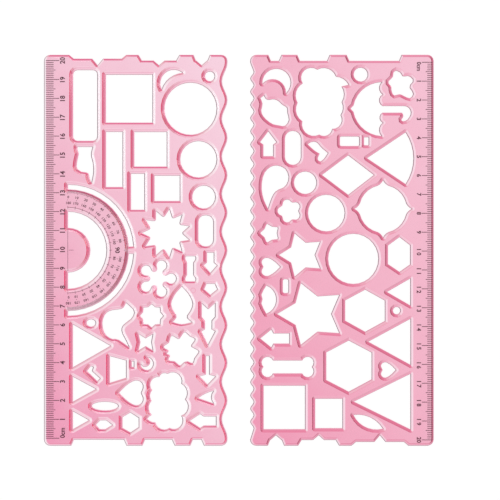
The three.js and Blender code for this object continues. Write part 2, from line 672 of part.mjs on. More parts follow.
const protractorTemplate = new THREE.Mesh(
  templatePlate(protractorOutline, protractorCutouts, PROTRACTOR_BEVEL),
  clearPlastic(0xf3bfd3),
);
protractorTemplate.name = 'protractor_template';
protractorTemplate.position.set(-outerEdge, -middleOfLength, 0);
pair.add(protractorTemplate);

const shapesTemplate = new THREE.Mesh(
  templatePlate(shapesOutline, shapesCutouts, SHAPES_BEVEL),
  clearPlastic(0xf4b8cd),
);
shapesTemplate.name = 'shapes_template';
shapesTemplate.position.set(outerEdge, middleOfLength, 0);
shapesTemplate.rotation.z = Math.PI;
pair.add(shapesTemplate);

export default pair;
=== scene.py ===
"""Looks for a pair of transparent pink drawing templates that lie side by side on white paper.

Lengths are in metres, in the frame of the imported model: +Z is up, the ruled edges run along Y, and
the protractor template lies on the left. Each template is drawn in ruler coordinates, where u runs
from the ruled edge across the plate and v runs along that edge from the 0 cm mark.
"""

import logging
import math
from collections.abc import Callable, Iterator, Sequence
from dataclasses import dataclass, field
from enum import Enum

import bmesh
import bpy
from mathutils import Matrix, Vector


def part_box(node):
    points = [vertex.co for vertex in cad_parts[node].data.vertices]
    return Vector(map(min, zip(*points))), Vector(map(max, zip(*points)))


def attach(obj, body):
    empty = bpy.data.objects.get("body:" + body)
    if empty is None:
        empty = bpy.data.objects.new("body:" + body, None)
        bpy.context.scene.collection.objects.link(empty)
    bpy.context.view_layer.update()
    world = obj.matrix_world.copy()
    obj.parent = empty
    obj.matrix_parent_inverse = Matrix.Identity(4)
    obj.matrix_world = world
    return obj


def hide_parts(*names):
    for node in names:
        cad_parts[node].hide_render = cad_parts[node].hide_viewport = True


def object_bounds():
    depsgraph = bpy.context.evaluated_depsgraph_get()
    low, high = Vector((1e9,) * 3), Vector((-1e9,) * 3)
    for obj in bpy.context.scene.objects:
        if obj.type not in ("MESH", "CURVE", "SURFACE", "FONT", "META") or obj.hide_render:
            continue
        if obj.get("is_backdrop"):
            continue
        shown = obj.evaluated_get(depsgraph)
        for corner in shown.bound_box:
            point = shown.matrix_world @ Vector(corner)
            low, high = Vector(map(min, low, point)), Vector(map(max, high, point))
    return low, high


MM = 0.001
OUTLINE_MARK = "outline"

# The Mix node's colour sockets bear the same names as its other kinds, so they go by number.
MIX_FIRST, MIX_SECOND, MIX_RESULT = 6, 7, 2

Colour = tuple[float, float, float]
Stripe = tuple[Colour, float, float]

log = logging.getLogger("templates")
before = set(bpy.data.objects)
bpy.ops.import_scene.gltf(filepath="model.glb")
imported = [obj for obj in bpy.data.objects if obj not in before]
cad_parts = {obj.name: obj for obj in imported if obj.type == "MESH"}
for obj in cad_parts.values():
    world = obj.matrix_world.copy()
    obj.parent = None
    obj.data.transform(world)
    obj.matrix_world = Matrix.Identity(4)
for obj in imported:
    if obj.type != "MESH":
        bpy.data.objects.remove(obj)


class Plate(Enum):
    """The two templates of the pair, by the names of their bodies."""

    PROTRACTOR = "protractor_template"
    SHAPES = "shapes_template"


class Tick(Enum):
    """The three lengths of a centimetre scale's marks."""

    MILLIMETRE = "millimetre"
    HALF = "half"
    CENTIMETRE = "centimetre"


def linear(red: int, green: int, blue: int) -> Colour:
    """Turns a colour that is written as 8-bit sRGB into linear light.

    Args:
        red: Red from 0 to 255.
        green: Green from 0 to 255.
        blue: Blue from 0 to 255.

    Returns:
        The three linear channels, from 0 to 1.
    """

    def channel(value: int) -> float:
        """Gives one channel in linear light."""
        share = value / 255
        return share / 12.92 if share <= 0.04045 else ((share + 0.055) / 1.055) ** 2.4

    return channel(red), channel(green), channel(blue)


def clear(red: int, green: int, blue: int) -> Colour:
    """Gives the colour of clear plastic that shows white paper in a colour written as 8-bit sRGB.

    The Principled shader tints what passes one surface by the root of its colour, so it is squared.

    Args:
        red: Red from 0 to 255.
        green: Green from 0 to 255.
        blue: Blue from 0 to 255.

    Returns:
        The three linear channels, from 0 to 1.
    """
    return tuple(channel**2 for channel in linear(red, green, blue))


class NodeSheet:
    """A material's node tree, with short calls for the nodes that this scene uses."""

    def __init__(self, name: str) -> None:
        """Starts an empty node material.

        Args:
            name: The material's name.
        """
        self.material = bpy.data.materials.new(name)
        self.material.use_nodes = True
        self.tree = self.material.node_tree
        self.tree.nodes.clear()

    def add(self, kind: str, **settings: object) -> bpy.types.Node:
        """Adds one node and sets its properties.

        Args:
            kind: The node's Blender type name.
            **settings: Property names and their values.

        Returns:
            The new node.
        """
        node = self.tree.nodes.new(kind)
        for key, value in settings.items():
            setattr(node, key, value)
        return node

    def feed(self, socket: bpy.types.NodeSocket, value: object) -> None:
        """Links an output to a socket, or writes a plain value on it.

        Args:
            socket: The input that takes the value.
            value: An output socket, a number or a linear colour.
        """
        if isinstance(value, bpy.types.NodeSocket):
            self.tree.links.new(value, socket)
        elif socket.type == "RGBA":
            socket.default_value = (*value, 1.0)
        else:
            socket.default_value = value

    def math(self, operation: str, *values: object) -> bpy.types.NodeSocket:
        """Adds a Math node.

        Args:
            operation: The operation's Blender name.
            *values: Its inputs in order.

        Returns:
            The result's socket.
        """
        node = self.add("ShaderNodeMath", operation=operation)
        for socket, value in zip(node.inputs, values):
            self.feed(socket, value)
        return node.outputs[0]

    def ramp(
        self, value: object, low: float, high: float, start: float = 0.0, end: float = 1.0
    ) -> bpy.types.NodeSocket:
        """Carries a value smoothly from one number to another as it crosses a range.

        Args:
            value: The value that is followed.
            low: Where the change starts.
            high: Where the change ends.
            start: The result up to low.
            end: The result from high on.

        Returns:
            The result's socket.
        """
        node = self.add("ShaderNodeMapRange", interpolation_type="SMOOTHSTEP")
        names = ("Value", "From Min", "From Max", "To Min", "To Max")
        for name, number in zip(names, (value, low, high, start, end)):
            self.feed(node.inputs[name], number)
        return node.outputs["Result"]

    def mix(self, share: object, first: object, second: object) -> bpy.types.NodeSocket:
        """Mixes two colours.

        Args:
            share: How much of the second colour there is.
            first: The colour at a share of 0.
            second: The colour at a share of 1.

        Returns:
            The mixed colour's socket.
        """
        node = self.add("ShaderNodeMix", data_type="RGBA")
        self.feed(node.inputs[0], share)
        self.feed(node.inputs[MIX_FIRST], first)
        self.feed(node.inputs[MIX_SECOND], second)
        return node.outputs[MIX_RESULT]

    def stripes(self, value: object, row: Sequence[Stripe]) -> bpy.types.NodeSocket:
        """Runs through a row of colours as a value goes from 0 to 1, and blends each into the next.

        Args:
            value: The value that is followed.
            row: The colours, each with the places where it starts and ends.

        Returns:
            The colour's socket.
        """
        node = self.add("ShaderNodeValToRGB")
        stops = [(place, colour) for colour, start, end in row for place in (start, end)]
        elements = node.color_ramp.elements
        elements.remove(elements[1])
        elements[0].position = stops[0][0]
        elements[0].color = (*stops[0][1], 1.0)
        for place, colour in stops[1:]:
            elements.new(place).color = (*colour, 1.0)
        self.feed(node.inputs[0], value)
        return node.outputs[0]

    def finish(self, shader: bpy.types.NodeSocket) -> bpy.types.Material:
        """Connects the surface and gives the finished material.

        Args:
            shader: The surface shader's output.

        Returns:
            The material.
        """
        output = self.add("ShaderNodeOutputMaterial")
        self.feed(output.inputs["Surface"], shader)
        return self.material


@dataclass(frozen=True)
class BevelTints:
    """Painted light and shade from a bevel's lower edge, at 0, to its upper edge, at 1, by the way that
    it faces.
    """

    plus_x: tuple[Stripe, ...]
    plus_y: tuple[Stripe, ...]
    minus_x: tuple[Stripe, ...]
    minus_y: tuple[Stripe, ...]


@dataclass(frozen=True)
class Tones:
    """The painted light and shade that one plastic's bevels are given.

    The edge shade is the grey line of painted shade at an edge, the low and high lines are the dark
    lines of painted shade on a bevel that faces +X, and the rear line and band are those of one that
    faces +Y. Blush, veil and petal are pinks that lie between them, and glare is the painted highlight
    where the window would show. The high line starts at high_from, and rim_in tells how far the lines
    of the outer edge are moved up its bevel.
    """

    lip: Colour
    low_line: Colour
    high_line: Colour
    rear_line: Colour
    rear_band: Colour
    blush: Colour
    veil: Colour
    petal: Colour
    glare: Colour
    high_from: float
    rim_in: float

    def round_cutouts(self) -> BevelTints:
        """Lays the painted light and shade over the bevels of the cut-outs.

        Returns:
            A double line of painted shade on one side, and a grey line of painted shade under a painted
            highlight on the other.
        """
        # Painted shade lines on the +X and +Y sides, a painted highlight over a grey painted shade line
        # on the -X side.
        return BevelTints(
            plus_x=(
                (self.veil, 0.0, 0.04),
                (self.blush, 0.12, 0.36),
                (self.low_line, 0.46, 0.58),
                (self.blush, 0.68, self.high_from - 0.08),
                (self.high_line, self.high_from, 1.0),
            ),
            plus_y=(
                (self.petal, 0.0, 0.04),
                (self.blush, 0.14, 0.22),
                (self.rear_line, 0.32, 0.46),
                (self.rear_band, 0.62, 1.0),
            ),
            minus_x=((self.lip, 0.0, 0.13), (self.glare, 0.3, 0.75), (self.petal, 0.97, 1.0)),
            minus_y=(
                (self.lip, 0.0, 0.03),
                (self.petal, 0.15, 0.38),
                (self.veil, 0.48, 0.6),
                (self.petal, 0.76, 1.0),
            ),
        )

    def round_outline(self) -> BevelTints:
        """Lays the painted light and shade over the bevel of the outer edge.

        Returns:
            The same painted light and shade as round the cut-outs, on a narrower bevel.
        """
        # Lines of painted shade for the outer edge's bevel.
        lines = (
            (self.veil, 0.0, 0.05),
            (self.low_line, 0.18, 0.3),
            (self.blush, 0.44, 0.46),
            (self.high_line, 0.58, 0.82),
            (self.blush, 0.97, 1.0),
        )
        return BevelTints(
            plus_x=tuple(
                (tone, min(start + self.rim_in, 1.0), min(end + self.rim_in, 1.0))
                for tone, start, end in lines
            ),
            plus_y=(
                (self.petal, 0.0, 0.08),
                (self.rear_line, 0.24, 0.5),
                (self.blush, 0.62, 0.8),
                (self.petal, 0.98, 1.0),
            ),
            minus_x=((self.lip, 0.0, 0.14), (self.glare, 0.36, 0.6), (self.petal, 0.9, 1.0)),
            minus_y=(
                (self.lip, 0.0, 0.07),
                (self.petal, 0.26, 0.36),
                (self.veil, 0.5, 0.6),
                (self.blush, 0.75, 0.9),
            ),
        )


@dataclass(frozen=True)
class ClearPlastic:
    """Clear tinted moulded plastic, deeper at its walls, with painted light and shade on its bevels.

    The far face colour is that of the corner towards +X and +Y, and the near one of its opposite.
    Between them the colour fades along fade_way, from near_at to far_at, and drifts with a cloud.
    Pin marks are the faint rings that the mould's pins leave, given by their places on the face.
    The land is the height where a bevel starts, and top is that of the flat face. The corner shade
    tells how much painted shade darkens the bevels towards +X and +Y, and a higher sideways pull gives
    a slanting bevel more of the colours across the plate. The ranges tell how level a surface is where
    the wall becomes bevel and the bevel face, and at which heights the colourless underside ends.
    Light that has met more than trapped_after surfaces goes straight on, because it would stay
    caught between the two sides and leave them black.
    """

    name: str
    near_face: Colour
    far_face: Colour
    near_at: float
    far_at: float
    # The bevels' painted light and shade.
    tones: Tones
    wall: Colour
    lamp_tint: Colour
    pin_marks: tuple[tuple[float, float], ...] = ()
    pin_radius: float = 1.25 * MM
    pin_line: float = 0.4 * MM
    pin_share: float = 0.6
    land: float = 0.9 * MM
    top: float = 2.0 * MM
    fade_way: tuple[float, float] = (0.87, 0.5)
    cloud_scale: float = 60.0
    cloud_detail: float = 3.0
    cloud_drift: float = 0.05
    # Strength of the painted shade on bevels that face towards +X and +Y.
    deepening: float = 0.3
    sideways_pull: float = 1.6
    least_steep: float = 0.01
    wall_to_bevel: tuple[float, float] = (0.15, 0.45)
    bevel_to_face: tuple[float, float] = (0.9, 0.98)
    underside_ends: tuple[float, float] = (0.02 * MM, 0.1 * MM)
    trapped_after: float = 2.5
    roughness: float = 0.05
    ior: float = 1.49

    def material(self) -> bpy.types.Material:
        """Builds the finish from the plate's heights and the way that its bevels face.

        Returns:
            The plastic's material.
        """
        sheet = NodeSheet(self.name)
        place = sheet.add("ShaderNodeTexCoord")
        spot = sheet.add("ShaderNodeSeparateXYZ")
        sheet.feed(spot.inputs[0], place.outputs["Object"])
        way = sheet.add("ShaderNodeSeparateXYZ")
        sheet.feed(way.inputs[0], place.outputs["Normal"])
        level = sheet.math("ABSOLUTE", way.outputs["Z"])
        face = self._face_tint(sheet, place.outputs["Object"], spot)
        # The bevels get painted light and shade: dark painted shade lines and a painted highlight, by
        # the way that they face.
        bevel = self._bevel_tint(sheet, spot, way, level)
        upper = sheet.mix(sheet.ramp(level, *self.bevel_to_face), bevel, face)
        outside = sheet.mix(sheet.ramp(level, *self.wall_to_bevel), self.wall, upper)
        above = sheet.ramp(spot.outputs["Z"], *self.underside_ends)
        plastic = sheet.add("ShaderNodeBsdfPrincipled")
        sheet.feed(plastic.inputs["Base Color"], sheet.mix(above, (1.0, 1.0, 1.0), outside))
        plastic.inputs["Roughness"].default_value = self.roughness
        plastic.inputs["IOR"].default_value = self.ior
        plastic.inputs["Transmission Weight"].default_value = 1.0
        lamp_way = sheet.add("ShaderNodeBsdfTransparent")
        lamp_way.inputs["Color"].default_value = (*self.lamp_tint, 1.0)
        light_path = sheet.add("ShaderNodeLightPath")
        trapped = sheet.math("GREATER_THAN", light_path.outputs["Ray Depth"], self.trapped_after)
        blend = sheet.add("ShaderNodeMixShader")
        straight_on = sheet.math("MAXIMUM", light_path.outputs["Is Shadow Ray"], trapped)
        sheet.feed(blend.inputs[0], straight_on)
        sheet.feed(blend.inputs[1], plastic.outputs[0])
        sheet.feed(blend.inputs[2], lamp_way.outputs[0])
        return sheet.finish(blend.outputs[0])

    def _face_tint(
        self, sheet: NodeSheet, place: bpy.types.NodeSocket, spot: bpy.types.Node
    ) -> bpy.types.NodeSocket:
        """Tints the flat face, paler towards its far corner, faintly clouded and with its pin marks.

        Args:
            sheet: The node tree.
            place: The object coordinates.
            spot: The same coordinates, separated.

        Returns:
            The face's colour.
        """
        fade_x, fade_y = self.fade_way
        across = sheet.math("MULTIPLY", spot.outputs["X"], fade_x)
        along = sheet.math("MULTIPLY_ADD", spot.outputs["Y"], fade_y, across)
        cloud = sheet.add("ShaderNodeTexNoise")
        sheet.feed(cloud.inputs["Vector"], place)
        cloud.inputs["Scale"].default_value = self.cloud_scale
        cloud.inputs["Detail"].default_value = self.cloud_detail
        lean = sheet.math("SUBTRACT", cloud.outputs[0], 0.5)
        drifted = sheet.math("MULTIPLY_ADD", lean, self.cloud_drift, along)
        share = sheet.add("ShaderNodeMapRange")
        for name, value in (("Value", drifted), ("From Min", self.near_at), ("From Max", self.far_at)):
            sheet.feed(share.inputs[name], value)
        tint = sheet.mix(share.outputs["Result"], self.near_face, self.far_face)
        for x, y in self.pin_marks:
            span = sheet.add("ShaderNodeVectorMath", operation="DISTANCE")
            sheet.feed(span.inputs[0], place)
            span.inputs[1].default_value = (x, y, self.top)
            away = sheet.math("ABSOLUTE", sheet.math("SUBTRACT", span.outputs["Value"], self.pin_radius))
            ring = sheet.ramp(away, 0.0, self.pin_line, self.pin_share, 0.0)
            tint = sheet.mix(ring, tint, self.tones.blush)
        return tint

    def _bevel_tint(
        self, sheet: NodeSheet, spot: bpy.types.Node, way: bpy.types.Node, level: bpy.types.NodeSocket
    ) -> bpy.types.NodeSocket:
        """Paints light and shade on the bevels in stripes, by their height and by the way that they
        face.

        Bevels that face between +X and +Y, away from the window, get extra painted shade.

        Args:
            sheet: The node tree.
            spot: The object coordinates, separated.
            way: The surface normal, separated.
            level: How far the surface faces up or down.

        Returns:
            The bevels' colour, with its painted light and shade.
        """
        rise = sheet.math("SUBTRACT", spot.outputs["Z"], self.land)
        height = sheet.math("DIVIDE", rise, self.top - self.land)
        outward = sheet.math("SIGN", way.outputs["Z"])
        over = sheet.math("MULTIPLY", outward, way.outputs["X"])
        back = sheet.math("MULTIPLY", outward, way.outputs["Y"])
        flatness = sheet.math("MULTIPLY", level, level)
        steep = sheet.math("MAXIMUM", sheet.math("SUBTRACT", 1.0, flatness), self.least_steep)
        squared = sheet.math("DIVIDE", sheet.math("MULTIPLY", back, back), steep)
        lengthwise = sheet.math("POWER", squared, self.sideways_pull)
        to_right = sheet.math("GREATER_THAN", over, 0.0)
        to_back = sheet.math("GREATER_THAN", back, 0.0)
        painted_bevels = []
        # Stripes of painted shade and painted highlight, for the cut-outs' bevels and for the outer
        # edge's bevel.
        for bevel in (self.tones.round_cutouts(), self.tones.round_outline()):
            left, right = (sheet.stripes(height, row) for row in (bevel.minus_x, bevel.plus_x))
            front, rear = (sheet.stripes(height, row) for row in (bevel.minus_y, bevel.plus_y))
            sideways = sheet.mix(to_right, left, right)
            endways = sheet.mix(to_back, front, rear)
            painted_bevels.append(sheet.mix(lengthwise, sideways, endways))
        rim = sheet.add("ShaderNodeAttribute", attribute_name=OUTLINE_MARK)
        rightward, rearward = (sheet.math("MAXIMUM", part, 0.0) for part in (over, back))
        corner = sheet.math("DIVIDE", sheet.math("MULTIPLY", rightward, rearward), steep)
        # Painted shade: a gamma that darkens the bevels that face between +X and +Y.
        corner_shaded = sheet.add("ShaderNodeGamma")
        sheet.feed(corner_shaded.inputs["Color"], sheet.mix(rim.outputs["Fac"], *painted_bevels))
        sheet.feed(corner_shaded.inputs["Gamma"], sheet.math("MULTIPLY_ADD", corner, 2 * self.deepening, 1.0))
        return corner_shaded.outputs[0]


@dataclass(frozen=True)
class ScaleInk:
    """Thin printed ink, a little uneven where it wets the plastic."""

    name: str
    colour: Colour
    worn: Colour
    grain_scale: float = 900.0
    grain_range: tuple[float, float] = (0.35, 0.65)
    roughness: float = 0.6

    def material(self) -> bpy.types.Material:
        """Builds the ink's finish.

        Returns:
            The ink's material.
        """
        sheet = NodeSheet(self.name)
        place = sheet.add("ShaderNodeTexCoord")
        grain = sheet.add("ShaderNodeTexNoise")
        sheet.feed(grain.inputs["Vector"], place.outputs["Object"])
        grain.inputs["Scale"].default_value = self.grain_scale
        worn_share = sheet.ramp(grain.outputs[0], *self.grain_range)
        colour = sheet.mix(worn_share, self.colour, self.worn)
        ink = sheet.add("ShaderNodeBsdfPrincipled")
        sheet.feed(ink.inputs["Base Color"], colour)
        ink.inputs["Roughness"].default_value = self.roughness
        return sheet.finish(ink.outputs[0])


def object_from(name: str, work: bmesh.types.BMesh) -> bpy.types.Object:
    """Makes an object of a finished bmesh and frees the bmesh.

    Args:
        name: The object's name.
        work: The finished shape.

    Returns:
        The linked object, at the origin.
    """
    mesh = bpy.data.meshes.new(name)
    work.to_mesh(mesh)
    work.free()
    piece = bpy.data.objects.new(name, mesh)
    bpy.context.scene.collection.objects.link(piece)
    return piece


@dataclass
class RulerFrame:
    """Where one template's ruler coordinates lie in the model."""

    plate: Plate
    zero_margin: float = 4.1 * MM

    @property
    def matrix(self) -> Matrix:
        """Carries ruler coordinates to the model, by the corners of the CAD plate.

        Returns:
            The placing of the ruler's 0 cm mark, turned half round for the shapes template.
        """
        low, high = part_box(self.plate.value)
        if self.plate is Plate.PROTRACTOR:
            return Matrix.Translation((low.x, low.y + self.zero_margin, 0.0))
        turned = Matrix.Rotation(math.pi, 4, "Z")
        return Matrix.Translation((high.x, high.y - self.zero_margin, 0.0)) @ turned


@dataclass
class MouldedPlate:
    """One template: the CAD plate's own shape, with smooth curves round its cut-outs.

    Faces that meet at less than smooth_under run on into each other. A face is level where its
    normal's Z is above level_from, and upright where it is under upright_under.
    """

    plate: Plate
    finish: ClearPlastic
    slot: str
    smooth_under: float = math.radians(28)
    level_from: float = 0.9999
    upright_under: float = 0.1
    weld: float = 0.002 * MM

    def build(self) -> bpy.types.Object:
        """Copies the plate, joins its loose triangles and shades its curved walls smooth.

        Returns:
            The finished plate.
        """
        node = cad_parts[self.plate.value]
        work = bmesh.new()
        work.from_mesh(node.data)
        bmesh.ops.remove_doubles(work, verts=work.verts, dist=self.weld)
        for face in work.faces:
            face.smooth = True
        self._mark_outline(work)
        piece = object_from(f"{self.plate.value}_moulding", work)
        piece.data.materials.clear()
        piece.data.materials.append(self.finish.material())
        self._shade(piece.data)
        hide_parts(self.plate.value)
        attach(piece, self.plate.value)
        return piece

    def _mark_outline(self, work: bmesh.types.BMesh) -> None:
        """Marks the walls and bevels of the outer edge, which the finish tints in their own way.

        From wall to wall every edge is crossed, but on a bevel only the ones that it runs on over, so
        that the mark stays off a cut-out's bevel that cuts into it.

        Args:
            work: The plate's mesh.
        """
        mark = work.faces.layers.float.new(OUTLINE_MARK)
        outermost = min(work.verts, key=lambda vert: vert.co.x)
        waiting = [face for face in outermost.link_faces if self._is_upright(face)]
        while waiting:
            face = waiting.pop()
            face[mark] = 1.0
            for edge in face.edges:
                for other in edge.link_faces:
                    crossed = self._is_upright(face) or self._runs_on(face.normal, other.normal)
                    if crossed and other[mark] == 0.0 and not self._is_level(other.normal):
                        waiting.append(other)

    def _shade(self, mesh: bpy.types.Mesh) -> None:
        """Gives each corner of a face the mean normal of the faces that it runs on into.

        Each face counts by its area, so long straight sides stay flat up to their corners.

        Args:
            mesh: The finished plate's mesh.
        """
        around = [[] for _ in mesh.vertices]
        for face in mesh.polygons:
            for index in face.vertices:
                around[index].append(face)
        normals = []
        for face in mesh.polygons:
            for index in face.vertices:
                alike = (other for other in around[index] if self._runs_on(face.normal, other.normal))
                total = sum((other.area * other.normal for other in alike), Vector())
                normals.append(total.normalized())
        mesh.normals_split_custom_set(normals)

    def _is_upright(self, face: bmesh.types.BMFace) -> bool:
        """Tells whether a face stands upright."""
        return abs(face.normal.z) < self.upright_under

    def _is_level(self, normal: Vector) -> bool:
        """Tells whether a surface with this normal lies flat."""
        return abs(normal.z) > self.level_from

    def _runs_on(self, first: Vector, second: Vector) -> bool:
        """Tells whether a surface runs on smoothly between two normals, and not from face to bevel."""
        if self._is_level(first) != self._is_level(second):
            return False
        return first.dot(second) > math.cos(self.smooth_under)


class Print:
    """Ink sealed just under a template's upper side, as one thin mesh that follows its bevels.

    The letter values are in the font's own units, before a text gets its size.
    """

    depth: float = 0.012 * MM
    lift: float = -0.015 * MM
    letter_steps: int = 3
    letter_extrude: float = 0.5
    letter_weld: float = 1e-5

    def __init__(
        self,
        name: str,
        where: RulerFrame,
        ink: bpy.types.Material,
        drop: Callable[[Vector], float],
    ) -> None:
        """Starts an empty print.

        Args:
            name: The piece's name.
            where: The template that carries the print.
            ink: The ink's material.
            drop: How far the surface at a point in ruler coordinates lies below the flat face.
        """
        self.name = name
        self.where = where
        self.ink = ink
        self.drop = drop
        self.work = bmesh.new()

    def line(self, stops: Sequence[Vector], width: float) -> None:
        """Prints a straight line, with a joint where the surface under it bends.

        Args:
            stops: Its first end, the joints and its last end, in ruler coordinates.
            width: The line's width.
        """
        for start, end in zip(stops, stops[1:]):
            run = end - start
            turn = Matrix.Rotation(math.atan2(run.y, run.x), 4, "Z")
            size = Matrix.Diagonal((run.length, width, self.depth, 1.0))
            middle = (start + end) / 2
            place = Matrix.Translation((middle.x, middle.y, self.lift + self.depth / 2))
            bmesh.ops.create_cube(self.work, size=1.0, matrix=place @ turn @ size)

    def arc(
        self,
        centre: Vector,
        radius: float,
        start: float,
        end: float,
        width: float,
        steps: int = 60,
    ) -> None:
        """Prints part of a ring by turning a small section about its centre.

        Args:
            centre: The ring's centre in ruler coordinates.
            radius: The ring's radius.
            start: The angle of the first end.
            end: The angle of the last end.
            width: The line's width.
            steps: How many facets it has.
        """
        ring = bmesh.new()
        section = bmesh.ops.create_grid(ring, x_segments=1, y_segments=1, size=0.5)["verts"]
        stand = Matrix.Rotation(math.pi / 2, 4, "X") @ Matrix.Diagonal((width, self.depth, 1.0, 1.0))
        level = self.lift + self.depth / 2
        place = Matrix.Translation((centre.x + radius, centre.y, level)) @ stand
        bmesh.ops.transform(ring, matrix=place, verts=section)
        hub = Vector((centre.x, centre.y, 0.0))
        bmesh.ops.rotate(ring, cent=hub, matrix=Matrix.Rotation(start, 3, "Z"), verts=ring.verts)
        bmesh.ops.spin(
            ring,
            geom=ring.verts[:] + ring.edges[:] + ring.faces[:],
            cent=hub,
            axis=(0.0, 0.0, 1.0),
            angle=end - start,
            steps=steps,
            use_merge=False,
        )
        bmesh.ops.recalc_face_normals(ring, faces=ring.faces)
        self._take(ring)

    def words(
        self,
        text: str,
        middle: Vector,
        height: float,
        turn: float,
        stretch: float = 1.0,
        spacing: float = 1.0,
        weight: float = 0.03,
    ) -> None:
        """Prints a number or a short word, centred on a point.

        Args:
            text: What is printed.
            middle: The middle of the text in ruler coordinates.
            height: The height of its digits.
            turn: The angle of its baseline.
            stretch: The width of the letters as a share of the font's own.
            spacing: The distance from letter to letter as a share of the font's own.
            weight: How much the strokes are thickened, as a share of the font's size.
        """
        curve = bpy.data.curves.new(text, "FONT")
        curve.body = text
        curve.align_x = "CENTER"
        curve.align_y = "CENTER"
        curve.resolution_u = self.letter_steps
        curve.extrude = self.letter_extrude
        curve.offset = weight
        curve.space_character = spacing
        holder = bpy.data.objects.new(text, curve)
        bpy.context.scene.collection.objects.link(holder)
        bpy.context.view_layer.update()
        mesh = bpy.data.meshes.new_from_object(holder)
        bpy.data.objects.remove(holder)
        bpy.data.curves.remove(curve)
        letters = bmesh.new()
        letters.from_mesh(mesh)
        bpy.data.meshes.remove(mesh)
        bmesh.ops.remove_doubles(letters, verts=letters.verts, dist=self.letter_weld)
        low = Vector(min(v.co[i] for v in letters.verts) for i in range(3))
        high = Vector(max(v.co[i] for v in letters.verts) for i in range(3))
        centred = Matrix.Translation(-(low + high) / 2)
        tall = height / (high.y - low.y)
        size = Matrix.Diagonal((tall * stretch, tall, self.depth / (high.z - low.z), 1.0))
        turned = Matrix.Rotation(turn, 4, "Z")
        place = Matrix.Translation((middle.x, middle.y, self.lift + self.depth / 2))
        bmesh.ops.transform(letters, matrix=place @ turned @ size @ centred, verts=letters.verts)
        self._take(letters)

    def build(self) -> bpy.types.Object:
        """Lowers the print onto its template's surface.

        Returns:
            The finished print.
        """
        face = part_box(self.where.plate.value)[1].z
        for vert in self.work.verts:
            vert.co.z += face - self.drop(vert.co)
        bmesh.ops.transform(self.work, matrix=self.where.matrix, verts=self.work.verts)
        piece = object_from(self.name, self.work)
        piece.data.materials.append(self.ink)
        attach(piece, self.where.plate.value)
        return piece

    def _take(self, other: bmesh.types.BMesh) -> None:
        """Adds another bmesh to this print and frees it.

        Args:
            other: The finished mark or text.
        """
        mesh = bpy.data.meshes.new("part")
        other.to_mesh(mesh)
        other.free()
        self.work.from_mesh(mesh)
        bpy.data.meshes.remove(mesh)


@dataclass(frozen=True)
class Bevel:
    """The slope that surrounds a template's face wherever it ends."""

    width: float
    depth: float = 1.1 * MM

    def drop(self, inward: float) -> float:
        """Gives how far the surface has dropped at a distance inward from an edge.

        Args:
            inward: The distance from the edge, across the plate.

        Returns:
            How far it lies below the flat face.
        """
        return self.depth * (1 - min(max(inward / self.width, 0.0), 1.0))


@dataclass
class CentimetreScale:
    """The printed 20 cm scale beside a ruled edge.

    The numerals from 10 to 19 have their own spacing, and their middles are moved by teen_shift.
    """

    where: RulerFrame
    ink: bpy.types.Material
    start: float
    tips: dict[Tick, float]
    numeral_middle: float
    numeral_height: float
    zero_middle: float
    bevel: Bevel
    teen_spacing: float = 1.0
    teen_shift: float = 0.0
    zero_stretch: float = 0.9
    length: int = 200
    line: float = 0.33 * MM
    centimetre_line: float = 0.36 * MM

    def build(self) -> bpy.types.Object:
        """Prints the marks and their numerals.

        Returns:
            The finished scale.
        """
        scale = Print(f"{self.where.plate.value}_centimetre_scale", self.where, self.ink, self._drop)
        for count in range(self.length + 1):
            kind = self._kind(count)
            width = self.centimetre_line if kind is Tick.CENTIMETRE else self.line
            reaches = (self.start, self.bevel.width, self.tips[kind])
            scale.line([Vector((across, count * MM)) for across in reaches], width)
        for number in range(1, self.length // 10 + 1):
            spacing, shift = (self.teen_spacing, self.teen_shift) if 10 <= number < 20 else (1.0, 0.0)
            middle = Vector((self.numeral_middle, number * 10 * MM + shift))
            scale.words(str(number), middle, self.numeral_height, math.pi / 2, spacing=spacing)
        zero = Vector((self.numeral_middle, self.zero_middle))
        scale.words("0cm", zero, self.numeral_height, math.pi / 2, self.zero_stretch)
        return scale.build()

    def _drop(self, spot: Vector) -> float:
        """Gives how far the ruled edge's bevel has dropped at a point."""
        return self.bevel.drop(spot.x)

    @staticmethod
    def _kind(count: int) -> Tick:
        """Gives the kind of the mark at a number of millimetres."""
        if count % 10 == 0:
            return Tick.CENTIMETRE
        return Tick.HALF if count % 5 == 0 else Tick.MILLIMETRE


